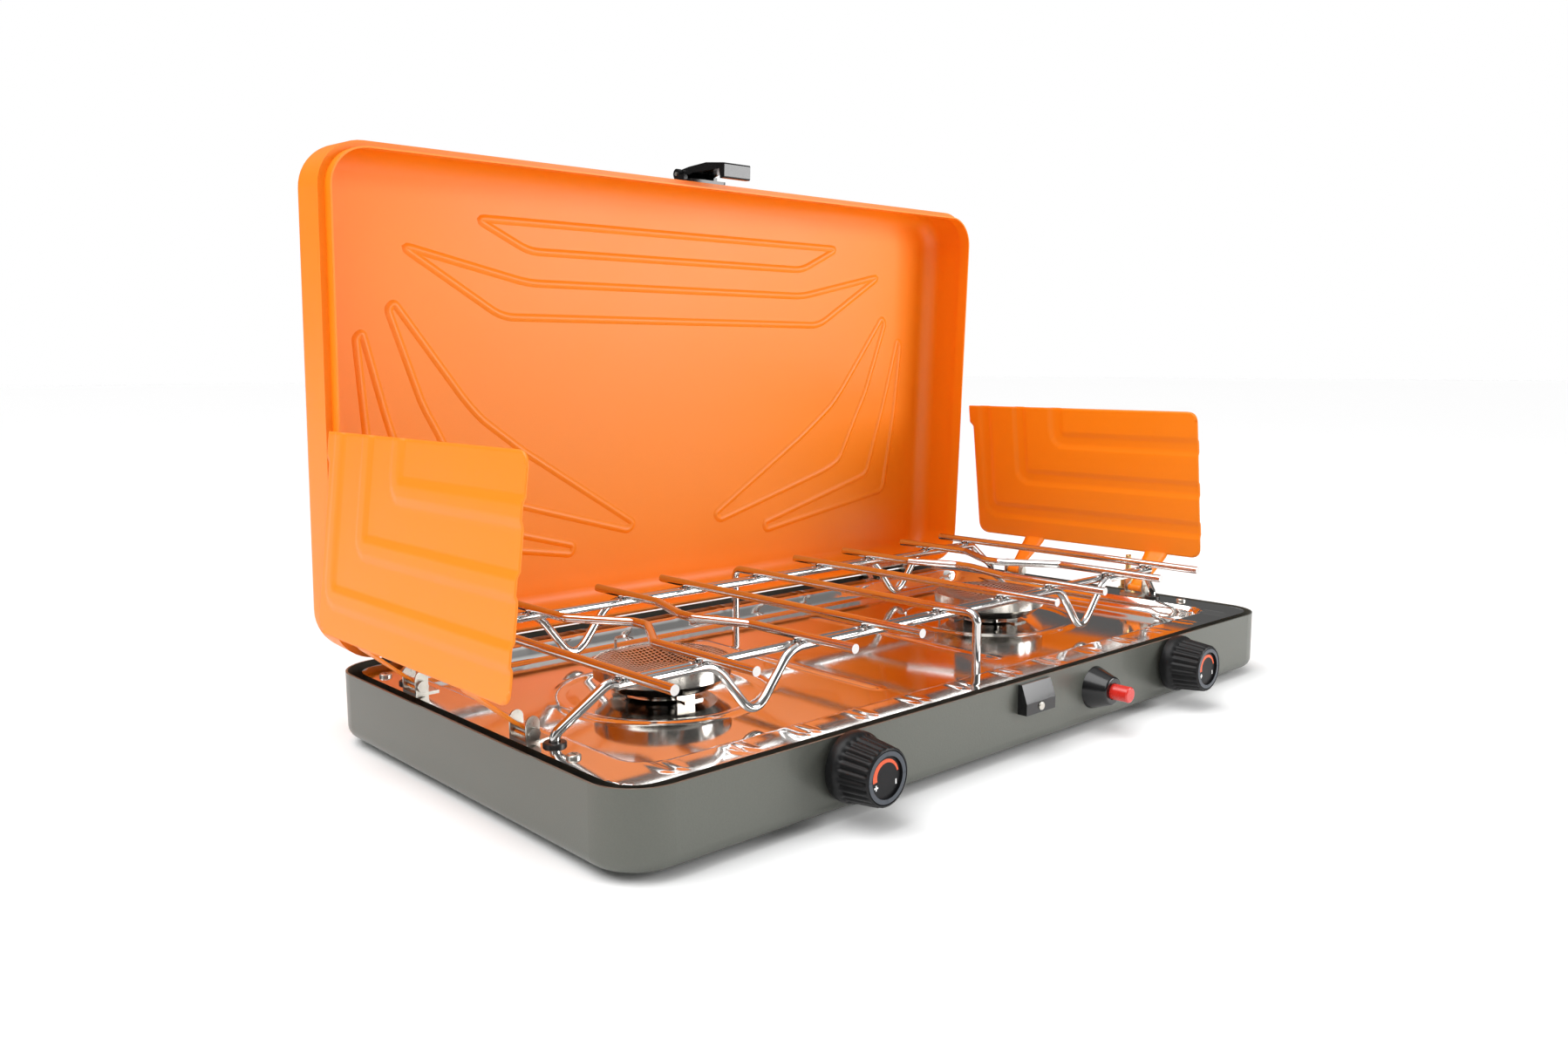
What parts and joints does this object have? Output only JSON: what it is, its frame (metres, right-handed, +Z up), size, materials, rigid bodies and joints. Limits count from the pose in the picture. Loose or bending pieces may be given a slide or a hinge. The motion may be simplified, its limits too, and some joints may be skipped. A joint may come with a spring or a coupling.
{
  "type": "camping stove",
  "caption": "Low folding gas stove with burners in a steel pan, a wire grate, side windscreens and a tray-shaped lid.",
  "frame": {"origin": "on the ground under the middle of the casing's footprint", "axes": "+X to the cook's right along the casing, +Y from the cook towards the lid's hinges, +Z up"},
  "size_m": [0.5728, 0.3475, 0.3463],
  "materials": {
    "casing_paint": "satin",
    "orange_paint": "satin",
    "polished_steel": "polished",
    "wire_chrome": "polished",
    "zinc": "satin",
    "black_plastic": "gloss",
    "knob_plastic": "matte",
    "dial_print": "matte",
    "red_plastic": "gloss",
    "brass": "satin",
    "rubber": "matte",
    "burner_steel": "satin",
    "ceramic": "gloss"
  },
  "bodies": {
    "stove_base": {"casing": "casing_paint", "drip_pan": "polished_steel", "electrode_insulators": "ceramic", "electrode_pins": "zinc", "gas_inlet": "brass", "gas_jets": "brass", "gas_line": "zinc", "hinge_leaves_casing": "zinc", "hinge_rivets_casing": "zinc", "igniter_bezel": "black_plastic", "igniter_nut": "zinc", "keeper_rivet": "zinc", "latch_keeper": "black_plastic", "left_burner_body": "burner_steel", "left_burner_cap": "burner_steel", "left_burner_supports": "burner_steel", "left_gas_valve": "brass", "left_ignition_lead": "rubber", "left_mixer_tube": "burner_steel", "left_screen_brackets": "zinc", "left_screen_hinge_screws": "zinc", "leg_grommets": "rubber", "pan_posts": "zinc", "pan_screws": "zinc", "piezo_unit": "black_plastic", "right_burner_body": "burner_steel", "right_burner_cap": "burner_steel", "right_burner_supports": "burner_steel", "right_gas_valve": "brass", "right_ignition_lead": "rubber", "right_mixer_tube": "burner_steel", "right_screen_brackets": "zinc", "right_screen_hinge_screws": "zinc", "rubber_feet": "rubber"},
    "lid_pins": {"lid_hinge_pins": "zinc", "lid_stop_arms": "zinc"},
    "lid": {"lid_shell": "orange_paint", "hinge_leaves_lid": "zinc", "hinge_rivets_lid": "zinc", "latch_base": "black_plastic", "latch_pin": "zinc"},
    "latch": {"latch_lever": "black_plastic"},
    "left_screen": {"left_windscreen": "orange_paint"},
    "right_screen": {"right_windscreen": "orange_paint"},
    "grate": {"grate_back_rail": "wire_chrome", "grate_back_stay": "wire_chrome", "grate_centre_wire": "wire_chrome", "grate_front_rail": "wire_chrome", "grate_front_stay": "wire_chrome", "grate_inner_jogged_wires": "wire_chrome", "grate_outer_jogged_wires": "wire_chrome", "grate_straight_wires": "wire_chrome"},
    "left_knob_turn": {"left_knob": "knob_plastic", "left_knob_dial": "dial_print", "left_valve_stem": "brass"},
    "right_knob_turn": {"right_knob": "knob_plastic", "right_knob_dial": "dial_print", "right_valve_stem": "brass"},
    "button": {"igniter_button": "red_plastic"}
  },
  "joints": [
    {"name": "lid_lean", "type": "hinge", "parent": "stove_base", "child": "lid_pins", "pos_m": [0, 0.143, 0.0465], "axis": [-1, 0, 0], "range_deg": [-20, 0]},
    {"name": "lid_swing", "type": "hinge", "parent": "lid_pins", "child": "lid", "pos_m": [0, 0.143, 0.0465], "axis": [-1, 0, 0], "range_deg": [-67.5, 0]},
    {"name": "latch_swing", "type": "hinge", "parent": "lid", "child": "latch", "pos_m": [0, 0.14764, 0.34148], "axis": [-1, 0, 0], "range_deg": [0, 60]},
    {"name": "left_screen_fold", "type": "hinge", "parent": "stove_base", "child": "left_screen", "pos_m": [-0.2585, 0, 0.0463], "axis": [0, 1, 0], "range_deg": [0, 83]},
    {"name": "right_screen_fold", "type": "hinge", "parent": "stove_base", "child": "right_screen", "pos_m": [0.2585, 0, 0.0463], "axis": [0, -1, 0], "range_deg": [0, 83]},
    {"name": "grate_lift", "type": "slide", "parent": "stove_base", "child": "grate", "axis": [0, 0, 1], "range_m": [0, 0.08]},
    {"name": "left_knob_spin", "type": "hinge", "parent": "stove_base", "child": "left_knob_turn", "pos_m": [-0.144, -0.167, 0.027], "axis": [0, -1, 0], "range_deg": [0, 270]},
    {"name": "right_knob_spin", "type": "hinge", "parent": "stove_base", "child": "right_knob_turn", "pos_m": [0.144, -0.167, 0.027], "axis": [0, -1, 0], "range_deg": [0, 270]},
    {"name": "igniter_press", "type": "slide", "parent": "stove_base", "child": "button", "axis": [0, 1, 0], "range_m": [0, 0.006], "stiffness_N_per_m": 800, "springref_m": -0.002}
  ],
  "couplings": [
    {"joint": "left_screen_fold", "follows": "lid_lean", "ratio": -4.15},
    {"joint": "right_screen_fold", "follows": "lid_lean", "ratio": -4.15}
  ]
}
